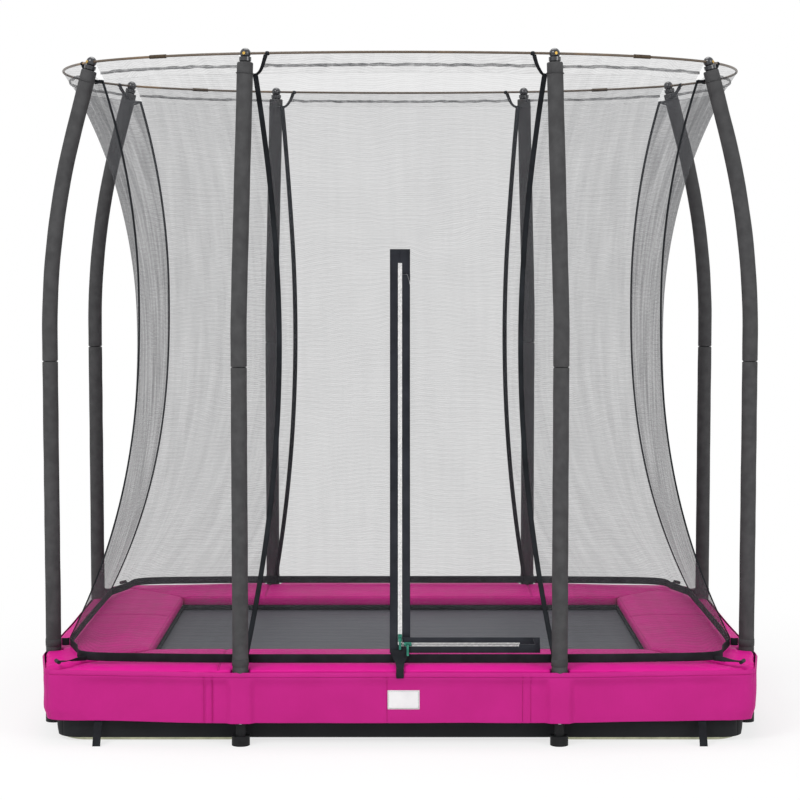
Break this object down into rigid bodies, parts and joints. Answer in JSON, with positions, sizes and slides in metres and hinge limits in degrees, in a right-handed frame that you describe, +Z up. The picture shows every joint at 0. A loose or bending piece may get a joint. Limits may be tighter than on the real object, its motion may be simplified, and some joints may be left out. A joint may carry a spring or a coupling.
{
  "type": "trampoline",
  "caption": "Rectangular garden trampoline with a sprung mat, padded edge, skirt and a waisted safety net with a zipped door on padded bent poles.",
  "frame": {"origin": "on the ground at the centre of the frame", "axes": "+Z up, the door side faces -Y, +X to the right of someone who faces the door and along the long side"},
  "size_m": [2.2966, 1.6866, 2.1325],
  "materials": {
    "galvanised_steel": "dull galvanised",
    "black_plastic": "matte",
    "black_coated_steel": "black powder coat",
    "fastener_steel": "zinc plated",
    "grey_foam": "matte closed-cell foam",
    "fibreglass_rod": "smooth",
    "rod_sleeve": "satin",
    "cap_plastic": "glossy",
    "cap_bolt_metal": "bright",
    "net_gauze": "fine open gauze",
    "black_webbing": "woven",
    "slider_metal": "teal enamel",
    "mat_weave": "woven polypropylene",
    "spring_steel": "zinc plated",
    "pad_cover": "coated cloth over foam",
    "skirt_cloth": "coated cloth"
  },
  "bodies": {
    "frame": {"rail_front": "galvanised_steel", "rail_back": "galvanised_steel", "rail_left": "galvanised_steel", "rail_right": "galvanised_steel", "corner_elbows": "galvanised_steel", "leg_front_left": "galvanised_steel", "leg_front_right": "galvanised_steel", "leg_back_left": "galvanised_steel", "leg_back_right": "galvanised_steel", "pole_lower_front": "black_coated_steel", "pole_lower_back": "black_coated_steel", "pole_lower_left": "black_coated_steel", "pole_lower_right": "black_coated_steel", "pole_upper_front": "black_coated_steel", "pole_upper_back": "black_coated_steel", "pole_upper_left": "black_coated_steel", "pole_upper_right": "black_coated_steel", "pole_spacers": "black_plastic", "pole_foot_caps": "black_plastic", "strap_toggles": "black_plastic", "pole_bolts": "fastener_steel", "pole_nuts": "fastener_steel", "foam_front": "grey_foam", "foam_back": "grey_foam", "foam_left": "grey_foam", "foam_right": "grey_foam", "ring_rods": "fibreglass_rod", "ring_ferrules": "rod_sleeve", "pole_top_caps": "cap_plastic", "cap_bolts": "cap_bolt_metal", "net_front": "net_gauze", "net_back": "net_gauze", "net_left": "net_gauze", "net_right": "net_gauze", "net_corner_front_left": "net_gauze", "net_corner_front_right": "net_gauze", "net_corner_back_left": "net_gauze", "net_corner_back_right": "net_gauze", "seam_tapes": "black_webbing", "bottom_band": "black_webbing", "net_hem": "black_webbing", "net_ties": "black_webbing", "zip_tape_fixed": "black_webbing", "ground_cover": "black_webbing", "webbing_straps": "black_webbing", "springs": "spring_steel", "pad_front": "pad_cover", "pad_back": "pad_cover", "pad_left": "pad_cover", "pad_right": "pad_cover", "skirt": "skirt_cloth"},
    "mat": {"mat": "mat_weave", "mat_rings": "spring_steel"},
    "door_flap": {"door_flap": "net_gauze", "zip_tape_flap": "black_webbing"},
    "upright_slider": {"zip_slider_upright": "slider_metal"},
    "bottom_slider": {"zip_slider_bottom": "slider_metal"},
    "upright_tab": {"pull_tab_upright": "slider_metal"},
    "bottom_tab": {"pull_tab_bottom": "slider_metal"}
  },
  "joints": [
    {"name": "mat_bounce", "type": "slide", "parent": "frame", "child": "mat", "axis": [0, 0, -1], "range_m": [0, 0.15], "stiffness_N_per_m": 6000, "springref_m": -0.012, "deforming": ["springs"]},
    {"name": "door_hinge", "type": "hinge", "parent": "frame", "child": "door_flap", "pos_m": [0.21, -0.6365, 0.905], "axis": [-0.3231, 0.1716, 0.9307], "range_deg": [0, 100]},
    {"name": "upright_zip", "type": "hinge", "parent": "door_flap", "child": "upright_slider", "pos_m": [0, -2.505, 1.25], "axis": [1, 0, 0], "range_deg": [0, 34]},
    {"name": "bottom_zip", "type": "slide", "parent": "door_flap", "child": "bottom_slider", "axis": [1, 0, 0], "range_m": [0, 0.37]},
    {"name": "upright_pull", "type": "hinge", "parent": "upright_slider", "child": "upright_tab", "pos_m": [0, -0.74691, 0.32239], "axis": [-1, 0, 0], "range_deg": [0, 120]},
    {"name": "bottom_pull", "type": "hinge", "parent": "bottom_slider", "child": "bottom_tab", "pos_m": [0.024, -0.75648, 0.30447], "axis": [-1, 0, 0], "range_deg": [0, 120]}
  ]
}
